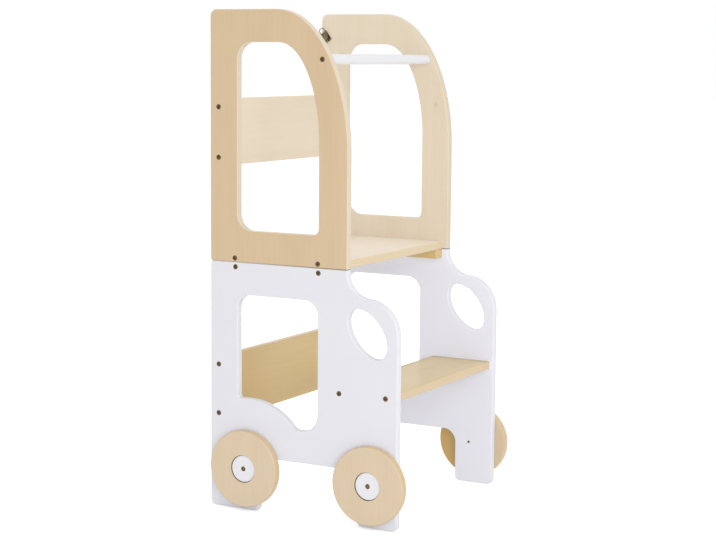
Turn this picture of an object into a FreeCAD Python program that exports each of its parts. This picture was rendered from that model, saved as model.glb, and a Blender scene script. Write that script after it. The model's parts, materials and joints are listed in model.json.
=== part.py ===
import FreeCAD, Part
import math
import os

os.makedirs("parts", exist_ok=True)

# Two-part wooden step stool shaped like a little bus.
# Millimetres. X is across, with the left side at -X. The steps face -Y. Z is up and the floor is Z = 0.
# Depths are measured forward from the plane of the rear edges, heights from the floor.

# Overall sizes
joint_height = 451.0          # top of the white base, where the upper half stands
folded_clearance = 2.0        # top edge above the floor once the upper half is folded down behind
side_spread = 412.0           # over the outer faces of the side panels
board_t = 15.0                # every board
upper_depth = 282.0
lower_depth = 383.0
edge_round = 2.0              # eased edges of the boards

# Upper side panels
sweep_depth_share = 0.514     # oval front sweep, in shares of the panel's depth and height
sweep_height_share = 0.56
roof_round = 12.0
panel_corner_round = 4.0
upper_rim = 57.5              # wood left round the big opening
opening_sweep_depth_share = 0.498
opening_sweep_height_share = 0.529
opening_roof_round = 30.0
opening_rear_round = 30.0
opening_front_round = 12.0

# Lower side panels
hood_round = 63.0
hood_hollow_round = 46.0
hood_neck = 2.0               # straight stretch below the joint
porthole_drop = 108.7         # from the joint
porthole_place_share = 0.623  # of the wood in front of the opening, as are the half axes
porthole_long_share = 0.311
porthole_short_share = 0.185
porthole_tilt = 51.8          # degrees, long axis leaning back
lower_rim = 58.0
lower_opening_rear_round = 25.0
lower_opening_hood_round = 28.0
lower_opening_front_round = 33.0
lower_opening_heel_round = 12.0
lower_opening_tail_round = 6.0
lower_pocket_width = 40.6     # from the heel of the mudguard curve to the opening's front
arch_height = 99.5
arch_round = 25.0
rear_leg_width = 102.0
front_leg_width = 78.0
foot_round = 10.0

# Boards between the panels
slat_inset = 10.0             # back slats behind the rear edges of the panels
slat_width = 120.0
upper_slat_rise = 231.7       # middle of the slat above the joint
lower_slat_height = 217.6     # middle of the slat
platform_inset = 11.0         # behind the front edges of the upper panels
step_height = 240.7           # top of the step
step_inset = 8.0              # behind the front edges of the lower panels
step_width = 122.0
cleat_width = 28.0
cleat_height = 16.5
left_cleat_setback = 6.0      # the left cleat ends this far behind the platform's front edge
hand_bar_d = 18.0
hand_bar_drop = 86.3          # below the top edge
hand_bar_inset = 16.0         # behind the front sweep

# Screws through the side panels
screw_head_r = 4.75
screw_head_t = 3.0
screw_neck_r = 3.4
screw_body_r = 2.5
screw_bite = 33.0             # length in the board behind the panel
cleat_screw_bite = 15.0
screw_tip = 3.0
socket_sides = 6
socket_across = 4.0
socket_deep = 2.2
screw_gap = 0.1               # play of a screw in its hole
board_screw_inset = 15.0      # from the long edges of slats and step
platform_screw_rear = 52.0
platform_screw_front_inset = 47.5
cleat_screw_shift = 1.3       # cleat screws sit this much forward of the platform's

# Wheels
wheel_r = 70.0
wheel_t = 15.0
wheel_round = 3.0
wheel_gap = 1.0               # between wheel and panel
wheel_clearance = 8.5         # rim above the floor
rear_axle_depth = 79.0
front_axle_inset = 49.0
hub_pocket_r = 25.2
hub_pocket_deep = 8.0
hub_ring_gap = 1.0
hub_sunk = 2.0                # hub face behind the wheel face
hub_play = 0.3                # end play between flange and pocket floor
hub_boss_r = 12.0
hub_face_round = 0.8
running_gap = 0.08            # wheel bore round the hub's boss
bolt_head_r = 4.5
bolt_head_t = 2.5
bolt_shank_r = 2.5
bolt_tip = 0.6

# Fold hinges at the rear of the platform
fold_gap = 1.0                # between the two halves once folded
hinge_width = 20.0
hinge_leaf_t = 1.2
hinge_leaf_inset = 2.0        # leaves end this far from the edge of their wood
hinge_barrel_r = 2.5
hinge_stand_off = 0.1         # barrel clear of the wood
hinge_knuckle_gap = 0.4
hinge_pin_r = 1.3
hinge_pin_play = 0.05
hinge_screw_head_r = 2.2
hinge_screw_head_t = 1.0
hinge_screw_r = 1.2
hinge_screw_length = 11.0
hinge_screw_side = 3.8
hinge_screw_edge = 3.6
fine_play = 0.02              # round small countersunk screws

# Toggle catches on the inner faces, slanted towards the rear edge
catch_reach = 0.6             # end wire of the bail past the rear edge
catch_drop = 28.5             # end wire below the top edge
catch_tilt = 37.0
catch_plate_start = 8.0       # distances back from the end wire
catch_plate_end = 30.0
catch_plate_width = 14.0
catch_plate_t = 1.0
catch_plate_round = 2.0
catch_pin_back = 16.0
catch_pin_high = 3.6
catch_pin_r = 0.8
catch_crank = 4.5             # from lever pin to bail pivot
catch_ear_t = 1.0
catch_ear_side = 1.9          # inner faces of the ears
catch_ear_r = 1.3
catch_side_gap = 0.3          # between ears and cheeks
lever_t = 0.9
lever_end = 25.0
lever_nose = 15.4
lever_rise = 0.6              # lever sheet over the ears
lever_cheek_r = 1.5           # cheek round its two pins
lever_tail = 3.0              # length of the raised tail
lever_tail_lift = 1.4
catch_gap = 0.15
catch_pin_play = 0.08
bail_wire_r = 0.8
bail_side_gap = 0.4           # between cheeks and the bail's legs
bail_bend_r = 4.0
bail_foot_r = 1.0
catch_screw_r = 1.2
catch_screw_head_r = 2.0
catch_screw_head_t = 0.9
catch_screw_length = 9.0
catch_screw_inset = 2.4

# Keepers for the catches, at the foot of the base's rear edges
keeper_length = 19.0
keeper_width = 5.0
keeper_t = 1.0
keeper_end_round = 2.2
keeper_pass_gap = 0.4         # the bail passes this far over the lip, then drops behind it
keeper_screw_inset = 3.5
keeper_screw_gap = 6.0

# Working values of the drawing
cut_over = 2.0                # overrun of every cut
tiny = 0.001                  # below this two places are one
quarter_turn = 90.0
half_turn = 180.0
full_turn = 360.0

# Places worked out from the sizes
overall_height = 2 * joint_height - folded_clearance
upper_height = overall_height - joint_height
outer_x = side_spread / 2
inner_x = outer_x - board_t
axle_height = wheel_r + wheel_clearance
front_axle_depth = lower_depth - front_axle_inset
front_leg_start = lower_depth - front_leg_width
platform_depth = upper_depth - platform_inset
step_front = lower_depth - step_inset
hinge_axis_back = fold_gap / 2
board_back = hinge_barrel_r + hinge_stand_off - hinge_axis_back
lower_opening_front = upper_depth - lower_rim
lever_top = catch_pin_high + catch_ear_r + lever_rise + lever_t
lever_side = catch_ear_side + catch_ear_t + catch_side_gap
bail_side = lever_side + lever_t + bail_side_gap + bail_wire_r
keeper_lip_high = catch_pin_high - bail_wire_r - keeper_pass_gap
lean_sin = math.sin(math.radians(catch_tilt))
lean_cos = math.cos(math.radians(catch_tilt))
bail_corner = (bail_side - bail_bend_r) * lean_cos - bail_bend_r * lean_sin
bail_reach = catch_reach + bail_corner + bail_bend_r + bail_wire_r
axle_reach = front_axle_depth + wheel_r
rear_y = (axle_reach - bail_reach) / 2
wheel_face_x = outer_x + wheel_gap
pocket_floor_x = wheel_face_x + wheel_t - hub_pocket_deep
hub_face_x = wheel_face_x + wheel_t - hub_sunk
screw_length = board_t + screw_bite
cleat_screw_length = board_t + cleat_screw_bite
catch_height = overall_height - catch_drop
V = FreeCAD.Vector


def place(x, depth, height):
    return V(x, rear_y - depth, height)


def corner(depth, height, radius):
    # a corner of an outline, eased by a round
    here = place(0, depth, height)
    return {"first": here, "last": here, "edges": [], "radius": radius}


def stretch(edges, first, last):
    # ready-made curved edges of an outline, between two (depth, height) points
    return {"first": place(0, *first), "last": place(0, *last), "edges": edges, "radius": 0}


def eased(before, here, after, radius):
    # arc that rounds off the corner at here
    way_in = (before - here).normalize()
    way_out = (after - here).normalize()
    inward = (way_in + way_out).normalize()
    half = way_in.getAngle(way_out) / 2
    back = radius / math.tan(half)
    apex = radius / math.sin(half) - radius
    return Part.Arc(here + way_in * back, here + inward * apex, here + way_out * back)


def arc(first, middle, last):
    return Part.Arc(place(0, *first), place(0, *middle), place(0, *last)).toShape()


def arc_about(centre, radius, start, stop):
    # start and stop in degrees from forward towards up
    points = []
    for angle in (start, (start + stop) / 2, stop):
        turn = math.radians(angle)
        points.append((centre[0] + radius * math.cos(turn), centre[1] + radius * math.sin(turn)))
    return points[0], points[2], arc(*points)


def sweep_edge(centre, half_depth, half_height):
    # quarter oval from the front to the top of its centre
    top = place(0, centre[0], centre[1] + half_height)
    front = place(0, centre[0] + half_depth, centre[1])
    oval = Part.Ellipse(top, front, place(0, *centre))
    return Part.Arc(oval, 0, math.pi / 2).toShape()


def angle_of(centre, point):
    return math.degrees(math.atan2(point[1] - centre[1], point[0] - centre[0]))


def outline(items):
    # closed wire through corners and curved stretches
    runs = []
    for i, item in enumerate(items):
        run = (item["first"], item["edges"], item["last"])
        if item["radius"]:
            following = items[(i + 1) % len(items)]
            ease = eased(items[i - 1]["last"], item["first"], following["first"], item["radius"])
            run = (ease.StartPoint, [ease.toShape()], ease.EndPoint)
        runs.append(run)
    edges = []
    for run, following in zip(runs, runs[1:] + runs[:1]):
        edges += run[1]
        if run[2].distanceToPoint(following[0]) > tiny:
            edges.append(Part.makeLine(run[2], following[0]))
    return Part.Wire(Part.__sortEdges__(edges))


def side_board(edge, openings):
    # right side panel: its outline less the openings, swept from the inner to the outer face
    face = Part.Face(edge)
    for opening in openings:
        face = face.cut(Part.Face(opening))
    face.translate(V(inner_x, 0, 0))
    return face.Faces[0].extrude(V(board_t, 0, 0))


def ease_faces(solid, faces_x, radius):
    edges = []
    for edge in solid.Edges:
        box = edge.BoundBox
        flat = box.XLength < tiny
        if flat and min(abs(box.XMin - x) for x in faces_x) < tiny:
            edges.append(edge)
    return solid.makeFillet(radius, edges)


def rod(x, depth, height, radius, length):
    # cylinder along X, starting at x
    return Part.makeCylinder(radius, length, place(x, depth, height), V(1, 0, 0))


def spun(points, start, axis, side):
    # solid turned about the axis through start, from (distance along it, radius) points
    wire = Part.makePolygon([start + axis * d + side * r for d, r in points + points[:1]])
    return Part.Face(wire).revolve(start, axis, full_turn)


def turned(points, depth, height):
    # solid turned about a line along X, from (x, radius) points
    return spun(points, place(0, depth, height), V(1, 0, 0), V(0, 0, 1))


def across_board(depth, height, depth_size, height_size):
    # board from one inner face to the other, eased along its four long edges
    board = Part.makeBox(2 * inner_x, depth_size, height_size, place(-inner_x, depth + depth_size, height))
    long_edges = [e for e in board.Edges if e.BoundBox.XLength > inner_x]
    return board.makeFillet(edge_round, long_edges)


def mirrored(shape):
    return shape.mirror(V(0, 0, 0), V(1, 0, 0))


def both_sides(shapes):
    return shapes + [mirrored(s) for s in shapes]


def keep(name, shape):
    shape.exportStep("parts/" + name + ".step")


def keep_pair(name, right):
    keep(name + "_right", right)
    keep(name + "_left", mirrored(right))


def keep_group(name, right_shapes):
    # fasteners of both sides in one file
    keep(name, Part.makeCompound(both_sides(right_shapes)))


def drill(solid, tools):
    return solid.cut(tools)


# Outlines of the side panels
def upper_outline():
    half_depth = upper_depth * sweep_depth_share
    half_height = upper_height * sweep_height_share
    centre = (upper_depth - half_depth, overall_height - half_height)
    front = (upper_depth, centre[1])
    top = (centre[0], overall_height)
    return outline([
        corner(0, joint_height, panel_corner_round),
        corner(upper_depth, joint_height, 0),
        stretch([sweep_edge(centre, half_depth, half_height)], front, top),
        corner(0, overall_height, roof_round),
    ])


def sweep_depth_at(height):
    # front edge of the upper panels at a height within the sweep
    half_depth = upper_depth * sweep_depth_share
    half_height = upper_height * sweep_height_share
    rise = (height - overall_height + half_height) / half_height
    return upper_depth - half_depth + half_depth * math.sqrt(1 - rise ** 2)


def upper_opening():
    front_depth = upper_depth - upper_rim
    roof = overall_height - upper_rim
    floor = joint_height + upper_rim
    half_depth = (front_depth - upper_rim) * opening_sweep_depth_share
    half_height = (roof - floor) * opening_sweep_height_share
    centre = (front_depth - half_depth, roof - half_height)
    edge = sweep_edge(centre, half_depth, half_height)
    return outline([
        corner(upper_rim, floor, opening_rear_round),
        corner(front_depth, floor, opening_front_round),
        stretch([edge], (front_depth, centre[1]), (centre[0], roof)),
        corner(upper_rim, roof, opening_roof_round),
    ])


def hood():
    # hollow under the joint, then the bulge over the front wheel
    hollow = (upper_depth + hood_hollow_round, joint_height - hood_neck)
    bulge_depth = lower_depth - hood_round
    reach = hood_round + hood_hollow_round
    drop = math.sqrt(reach ** 2 - (hollow[0] - bulge_depth) ** 2)
    bulge = (bulge_depth, hollow[1] - drop)
    lean = angle_of(bulge, hollow)
    top, meeting, hollow_edge = arc_about(hollow, hood_hollow_round, half_turn, lean + half_turn)
    meeting, foot, bulge_edge = arc_about(bulge, hood_round, lean, 0)
    return stretch([hollow_edge, bulge_edge], foot, top)


def lower_outline():
    return outline([
        corner(0, joint_height, panel_corner_round),
        corner(0, 0, foot_round),
        corner(rear_leg_width, 0, foot_round),
        corner(rear_leg_width, arch_height, arch_round),
        corner(front_leg_start, arch_height, arch_round),
        corner(front_leg_start, 0, foot_round),
        corner(lower_depth, 0, foot_round),
        hood(),
        corner(upper_depth, joint_height, 0),
    ])


def lower_opening():
    # its floor follows the rear wheel like a mudguard, then dips into a narrow pocket
    axle = (rear_axle_depth, axle_height)
    floor = arch_height + lower_rim
    roof = joint_height - lower_rim
    heel = (lower_opening_front - lower_pocket_width, floor + lower_opening_heel_round)
    fender_round = math.dist(axle, heel) - lower_opening_heel_round
    tail_x = lower_rim + lower_opening_tail_round
    tail_far = fender_round + lower_opening_tail_round
    tail = (tail_x, axle[1] + math.sqrt(tail_far ** 2 - (tail_x - axle[0]) ** 2))
    heel_angle = angle_of(axle, heel)
    tail_angle = angle_of(axle, tail)
    down = half_turn + quarter_turn
    first, meeting, heel_edge = arc_about(heel, lower_opening_heel_round, down, heel_angle + half_turn)
    meeting, meeting, guard_edge = arc_about(axle, fender_round, heel_angle, tail_angle)
    meeting, last, tail_edge = arc_about(tail, lower_opening_tail_round, tail_angle - half_turn, -half_turn)
    return outline([
        corner(lower_rim, roof, lower_opening_rear_round),
        corner(lower_opening_front, roof, lower_opening_hood_round),
        corner(lower_opening_front, floor, lower_opening_front_round),
        stretch([heel_edge, guard_edge, tail_edge], first, last),
    ])


def porthole():
    lean = math.radians(porthole_tilt)
    wood = lower_depth - lower_opening_front
    depth = lower_opening_front + wood * porthole_place_share
    height = joint_height - porthole_drop
    half_long = wood * porthole_long_share
    half_short = wood * porthole_short_share
    long_end = (depth - half_long * math.cos(lean), height + half_long * math.sin(lean))
    short_end = (depth + half_short * math.sin(lean), height + half_short * math.cos(lean))
    oval = Part.Ellipse(place(0, *long_end), place(0, *short_end), place(0, depth, height))
    return Part.Wire([oval.toShape()])


# Screws and their holes
def confirmat(x, depth, height, length):
    # flat-headed panel screw pointing inwards from the right outer face at x
    body = turned([
        (x, 0),
        (x, screw_head_r),
        (x - screw_head_t, screw_head_r),
        (x - screw_head_t, screw_neck_r),
        (x - board_t, screw_neck_r),
        (x - board_t, screw_body_r),
        (x - length + screw_tip, screw_body_r),
        (x - length, 0),
    ], depth, height)
    circle = socket_across / 2 / math.cos(math.pi / socket_sides)
    corners = []
    for i in range(socket_sides):
        turn = math.radians(full_turn * i / socket_sides)
        corners.append(place(x + cut_over, depth + circle * math.cos(turn), height + circle * math.sin(turn)))
    socket = Part.Face(Part.makePolygon(corners + corners[:1])).extrude(V(-socket_deep - cut_over, 0, 0))
    return body.cut(socket)


def panel_hole(x, depth, height):
    head = rod(x - screw_head_t, depth, height, screw_head_r + screw_gap, screw_head_t + cut_over)
    neck = rod(x - board_t - cut_over, depth, height, screw_neck_r + screw_gap, board_t + cut_over)
    return head.fuse(neck)


def board_hole(x, depth, height, length):
    reach = length - board_t + screw_gap
    start = x - board_t - reach
    return rod(start, depth, height, screw_body_r + screw_gap, reach + cut_over)


def countersunk(head_r, head_t, body_r, length):
    # profile of a small screw, from the top of its head
    return [(0, 0), (0, head_r), (head_t, body_r), (length - head_t, body_r), (length, 0)]


def countersink(head_r, head_t, body_r, length):
    # profile of its hole, opening out above the surface
    flare = (head_r - body_r) / head_t
    return [
        (-cut_over, 0),
        (-cut_over, head_r + fine_play + flare * cut_over),
        (head_t, body_r + fine_play),
        (length + screw_gap, body_r + fine_play),
        (length + screw_gap, 0),
    ]


slat_mid = slat_inset + board_t / 2
slat_screw_rise = slat_width / 2 - board_screw_inset
upper_slat_height = joint_height + upper_slat_rise
upper_slat_screws = [(slat_mid, upper_slat_height + rise) for rise in (slat_screw_rise, -slat_screw_rise)]
lower_slat_screws = [(slat_mid, lower_slat_height + rise) for rise in (slat_screw_rise, -slat_screw_rise)]
platform_screw_depths = (platform_screw_rear, platform_depth - platform_screw_front_inset)
platform_z = joint_height + board_t / 2
platform_screws = [(depth, platform_z) for depth in platform_screw_depths]
cleat_z = joint_height - cleat_height / 2
cleat_screws = [(depth + cleat_screw_shift, cleat_z) for depth in platform_screw_depths]
step_z = step_height - board_t / 2
step_screw_depths = (step_front - step_width + board_screw_inset, step_front - board_screw_inset)
step_screws = [(depth, step_z) for depth in step_screw_depths]
hand_bar_height = overall_height - hand_bar_drop
hand_bar_depth = sweep_depth_at(hand_bar_height) - hand_bar_inset
hand_bar_screws = [(hand_bar_depth, hand_bar_height)]
axles = [(rear_axle_depth, axle_height), (front_axle_depth, axle_height)]


# Side panels
def upper_panel():
    panel = side_board(upper_outline(), [upper_opening()])
    panel = ease_faces(panel, (inner_x, outer_x), edge_round)
    places = upper_slat_screws + platform_screws + hand_bar_screws
    tools = [panel_hole(outer_x, *p) for p in places]
    tools += [catch_on_panel(t) for t in catch_screw_holes()]
    return drill(panel, tools)


def lower_panel():
    panel = side_board(lower_outline(), [lower_opening(), porthole()])
    panel = ease_faces(panel, (inner_x, outer_x), edge_round)
    places = lower_slat_screws + step_screws + cleat_screws
    tools = [panel_hole(outer_x, *p) for p in places]
    for depth, height in axles:
        bolt_hole_r = bolt_shank_r + screw_gap
        tools.append(rod(inner_x - cut_over, depth, height, bolt_hole_r, board_t + 2 * cut_over))
    tools += [keeper_on_panel(t) for t in keeper_screw_holes()]
    return drill(panel, tools)


# Wheels, hubs and bolts
def wheel(depth, height):
    outer = wheel_face_x + wheel_t
    bore = hub_boss_r + running_gap
    disc = turned([
        (wheel_face_x, bore),
        (wheel_face_x, wheel_r),
        (outer, wheel_r),
        (outer, hub_pocket_r),
        (pocket_floor_x, hub_pocket_r),
        (pocket_floor_x, bore),
    ], depth, height)
    rims = []
    for edge in disc.Edges:
        if isinstance(edge.Curve, Part.Circle) and edge.Curve.Radius > wheel_r - tiny:
            rims.append(edge)
    return disc.makeFillet(wheel_round, rims)


def wheel_hub(depth, height):
    flange_x = pocket_floor_x + hub_play
    flange_r = hub_pocket_r - hub_ring_gap
    bore = bolt_shank_r + screw_gap
    return turned([
        (outer_x, bore),
        (outer_x, hub_boss_r),
        (flange_x, hub_boss_r),
        (flange_x, flange_r),
        (hub_face_x - hub_face_round, flange_r),
        (hub_face_x, flange_r - hub_face_round),
        (hub_face_x, bolt_head_r + screw_gap),
        (hub_face_x - bolt_head_t, bolt_head_r + screw_gap),
        (hub_face_x - bolt_head_t, bore),
    ], depth, height)


def wheel_bolt(depth, height):
    return turned([
        (hub_face_x, 0),
        (hub_face_x, bolt_head_r - bolt_tip),
        (hub_face_x - bolt_tip, bolt_head_r),
        (hub_face_x - bolt_head_t, bolt_head_r),
        (hub_face_x - bolt_head_t, bolt_shank_r),
        (inner_x + bolt_tip, bolt_shank_r),
        (inner_x, bolt_shank_r - bolt_tip),
        (inner_x, 0),
    ], depth, height)


# Fold hinge of the right side, on the rear ends of the cleat and the platform
hinge_inner = inner_x - (cleat_width + hinge_width) / 2
hinge_outer = hinge_inner + hinge_width
knuckle = (hinge_width - 2 * hinge_knuckle_gap) / 3
middle_start = hinge_inner + knuckle + hinge_knuckle_gap
last_start = hinge_outer - knuckle


def leaf(bottom, top, own_knuckles, other_knuckles, pin_play):
    solid = Part.makeBox(hinge_width, hinge_leaf_t, top - bottom, place(hinge_inner, board_back, bottom))
    clear = hinge_barrel_r + hinge_knuckle_gap
    for start in other_knuckles:
        left = max(start - hinge_knuckle_gap, hinge_inner - cut_over)
        right = min(start + knuckle + hinge_knuckle_gap, hinge_outer + cut_over)
        solid = solid.cut(rod(left, -hinge_axis_back, joint_height, clear, right - left))
    for start in own_knuckles:
        solid = solid.fuse(rod(start, -hinge_axis_back, joint_height, hinge_barrel_r, knuckle))
    pin_hole = rod(hinge_inner - cut_over, -hinge_axis_back, joint_height,
                   hinge_pin_r + pin_play, hinge_width + 2 * cut_over)
    return solid.cut(pin_hole).removeSplitter()


hinge_screw_size = (hinge_screw_head_r, hinge_screw_head_t, hinge_screw_r, hinge_screw_length)


def from_behind(profile, x, height):
    # turned form that points forward into the wood from the leaf's rear face
    return spun(profile, place(x, board_back - hinge_leaf_t, height), V(0, -1, 0), V(0, 0, 1))


def hinge_screw(x, height):
    return from_behind(countersunk(*hinge_screw_size), x, height)


def hinge_screw_hole(x, height):
    return from_behind(countersink(*hinge_screw_size), x, height)


hinge_mid = (hinge_inner + hinge_outer) / 2
upper_leaf_top = joint_height + board_t - hinge_leaf_inset
lower_leaf_bottom = joint_height - cleat_height + hinge_leaf_inset
hinge_screw_xs = (hinge_mid - hinge_screw_side, hinge_mid + hinge_screw_side)
hinge_upper_places = [(x, upper_leaf_top - hinge_screw_edge) for x in hinge_screw_xs]
hinge_lower_places = [(x, lower_leaf_bottom + hinge_screw_edge) for x in hinge_screw_xs]


# Toggle catch, drawn flat: X runs back from the end wire, Y across, Z off the panel
def on_panel(shape, depth, height):
    # lays a drawing on the right panel's inner face, slanted down and forward from this place
    along = V(0, -lean_sin, -lean_cos)
    normal = V(-1, 0, 0)
    across = normal.cross(along)
    start = place(inner_x, depth, height)
    copy = shape.copy()
    copy.Placement = FreeCAD.Placement(FreeCAD.Matrix(
        along.x, across.x, normal.x, start.x,
        along.y, across.y, normal.y, start.y,
        along.z, across.z, normal.z, start.z,
        0, 0, 0, 1))
    return copy


def catch_on_panel(shape):
    return on_panel(shape, -catch_reach, catch_height)


def pin_across(back, high, radius, half_width):
    return Part.makeCylinder(radius, 2 * half_width, V(back, -half_width, high), V(0, 1, 0))


def catch_plate():
    plate = Part.makeBox(catch_plate_end - catch_plate_start, catch_plate_width, catch_plate_t,
                         V(catch_plate_start, -catch_plate_width / 2, 0))
    upright = [e for e in plate.Edges if e.BoundBox.ZLength > catch_plate_t / 2]
    plate = plate.makeFillet(catch_plate_round, upright)
    for side in (catch_ear_side, -catch_ear_side - catch_ear_t):
        start = V(catch_pin_back - catch_ear_r, side, 0)
        crown_start = V(catch_pin_back, side, catch_pin_high)
        foot = Part.makeBox(2 * catch_ear_r, catch_ear_t, catch_pin_high, start)
        crown = Part.makeCylinder(catch_ear_r, catch_ear_t, crown_start, V(0, 1, 0))
        plate = plate.fuse(foot.fuse(crown))
    pin_hole = pin_across(catch_pin_back, catch_pin_high, catch_pin_r, catch_plate_width)
    return drill(plate, catch_screw_holes() + [pin_hole]).removeSplitter()


def catch_screw_places():
    return (catch_plate_start + catch_screw_inset, catch_plate_end - catch_screw_inset)


catch_screw_size = (catch_screw_head_r, catch_screw_head_t, catch_screw_r, catch_screw_length)


def into_panel(profile, back, plate_t):
    # turned form that points into the panel from the face of a plate
    return spun(profile, V(back, 0, plate_t), V(0, 0, -1), V(1, 0, 0))


def small_screw(back, plate_t):
    return into_panel(countersunk(*catch_screw_size), back, plate_t)


def small_screw_hole(back, plate_t):
    return into_panel(countersink(*catch_screw_size), back, plate_t)


def catch_screw_holes():
    return [small_screw_hole(back, catch_plate_t) for back in catch_screw_places()]


def catch_pin():
    return pin_across(catch_pin_back, catch_pin_high, catch_pin_r, lever_side + lever_t)


def sheet(profile, start, width):
    # (distance back, height) outline drawn at start and carried across by width
    wire = Part.makePolygon([V(back, start, high) for back, high in profile + profile[:1]])
    return Part.Face(wire).extrude(V(0, width, 0))


def catch_lever():
    # folded sheet: a top with a raised tail and two cheeks
    top_z = lever_top - lever_t
    tail_start = lever_end - lever_tail
    profile = [
        (lever_nose, top_z),
        (lever_nose, lever_top),
        (tail_start, lever_top),
        (lever_end, lever_top + lever_tail_lift),
        (lever_end, lever_top + lever_tail_lift - lever_t),
        (tail_start, top_z),
    ]
    width = 2 * (lever_side + lever_t)
    solid = sheet(profile, -width / 2, width)
    pivot = catch_pin_back + catch_crank
    cheek = [
        (lever_nose, lever_top),
        (catch_pin_back - lever_cheek_r, catch_pin_high + lever_cheek_r),
        (catch_pin_back - lever_cheek_r, catch_pin_high - lever_cheek_r),
        (pivot + lever_cheek_r, catch_pin_high - lever_cheek_r),
        (tail_start, lever_top),
    ]
    for side in (lever_side, -lever_side - lever_t):
        solid = solid.fuse(sheet(cheek, side, lever_t))
    pin_hole = pin_across(catch_pin_back, catch_pin_high, catch_pin_r + catch_pin_play, width)
    bail_hole = pin_across(pivot, catch_pin_high, bail_wire_r + catch_pin_play, width)
    return drill(solid, [pin_hole, bail_hole]).removeSplitter()


def catch_bail():
    # one bent wire: foot in the lever, leg, end wire, leg and the other foot
    pivot = catch_pin_back + catch_crank
    foot = lever_side + catch_gap
    half = [(pivot, foot), (pivot, bail_side), (0, bail_side)]
    bends = [(back, -side) for back, side in half] + half[::-1]
    points = [V(back, side, catch_pin_high) for back, side in bends]
    rounds = [bail_foot_r, bail_bend_r, bail_bend_r, bail_foot_r]
    edges = []
    last = points[0]
    for before, here, after, radius in zip(points, points[1:], points[2:], rounds):
        ease = eased(before, here, after, radius)
        edges += [Part.makeLine(last, ease.StartPoint), ease.toShape()]
        last = ease.EndPoint
    edges.append(Part.makeLine(last, points[-1]))
    ring = Part.Wire([Part.makeCircle(bail_wire_r, points[0], V(0, 1, 0))])
    return Part.Wire(edges).makePipeShell([ring], True, False)


# Keeper on the base. Its lip stands behind the bail's end wire once the upper half is folded down
folded_depth = catch_reach - fold_gap
folded_height = 2 * joint_height - catch_height
lip_in_bend = max(keeper_width / 2 - (bail_side - bail_bend_r), 0)
bail_inner_r = bail_bend_r - bail_wire_r
bail_end = bail_bend_r - math.sqrt(bail_inner_r ** 2 - lip_in_bend ** 2)
keeper_start = bail_end + catch_gap + keeper_t


def keeper_on_panel(shape):
    depth = folded_depth - keeper_start * lean_sin
    height = folded_height + keeper_start * lean_cos
    return on_panel(shape, depth, height)


def keeper():
    plate = Part.makeBox(keeper_length, keeper_width, keeper_t, V(0, -keeper_width / 2, 0))
    upright = [e for e in plate.Edges if e.BoundBox.ZLength > keeper_t / 2]
    plate = plate.makeFillet(keeper_end_round, [e for e in upright if e.BoundBox.XMin > keeper_length / 2])
    lip = Part.makeBox(keeper_t, keeper_width, keeper_lip_high, V(0, -keeper_width / 2, 0))
    return drill(plate.fuse(lip), keeper_screw_holes()).removeSplitter()


def keeper_screw_places():
    last = keeper_length - keeper_screw_inset
    return (last - keeper_screw_gap, last)


def keeper_screw_holes():
    return [small_screw_hole(back, keeper_t) for back in keeper_screw_places()]


# White base
def cleat(setback):
    length = platform_depth - setback - board_back
    start = place(inner_x - cleat_width, platform_depth - setback, joint_height - cleat_height)
    board = Part.makeBox(cleat_width, length, cleat_height, start)
    long_edges = [e for e in board.Edges if e.BoundBox.YLength > length - tiny]
    inner_edges = [e for e in long_edges if e.BoundBox.XMax < inner_x - tiny]
    free_edge = [e for e in inner_edges if e.BoundBox.ZMax < joint_height - tiny]
    tools = [board_hole(outer_x, d, h, cleat_screw_length) for d, h in cleat_screws]
    tools += [hinge_screw_hole(x, h) for x, h in hinge_lower_places]
    return drill(board.makeFillet(edge_round, free_edge), tools)


def screwed_board(board, places):
    # board with screw holes in both ends
    return drill(board, both_sides([board_hole(outer_x, d, h, screw_length) for d, h in places]))


def keep_screws(name, places, length):
    keep_group(name, [confirmat(outer_x, d, h, length) for d, h in places])


keep_pair("lower_panel", lower_panel())
keep("platform_cleat_right", cleat(0))
keep("platform_cleat_left", mirrored(cleat(left_cleat_setback)))
lower_slat = across_board(slat_inset, lower_slat_height - slat_width / 2, board_t, slat_width)
keep("lower_back_slat", screwed_board(lower_slat, lower_slat_screws))
step = across_board(step_front - step_width, step_height - board_t, step_width, board_t)
keep("step_board", screwed_board(step, step_screws))
keep_screws("lower_slat_screws", lower_slat_screws, screw_length)
keep_screws("step_screws", step_screws, screw_length)
keep_screws("cleat_screws", cleat_screws, cleat_screw_length)

# Wheels
for end, axle in zip(("rear", "front"), axles):
    keep_pair("wheel_" + end, wheel(*axle))
    keep_pair("wheel_hub_" + end, wheel_hub(*axle))
keep_group("wheel_bolts", [wheel_bolt(*axle) for axle in axles])

# Fold hinges
outer_knuckles = (hinge_inner, last_start)
upper_leaf = leaf(joint_height, upper_leaf_top, (middle_start,), outer_knuckles, hinge_pin_play)
lower_leaf = leaf(lower_leaf_bottom, joint_height, outer_knuckles, (middle_start,), 0)
keep_pair("hinge_upper_leaf", drill(upper_leaf, [hinge_screw_hole(x, h) for x, h in hinge_upper_places]))
keep_pair("hinge_lower_leaf", drill(lower_leaf, [hinge_screw_hole(x, h) for x, h in hinge_lower_places]))
keep_pair("hinge_pin", rod(hinge_inner, -hinge_axis_back, joint_height, hinge_pin_r, hinge_width))
keep_group("hinge_upper_screws", [hinge_screw(x, h) for x, h in hinge_upper_places])
keep_group("hinge_lower_screws", [hinge_screw(x, h) for x, h in hinge_lower_places])

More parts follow.
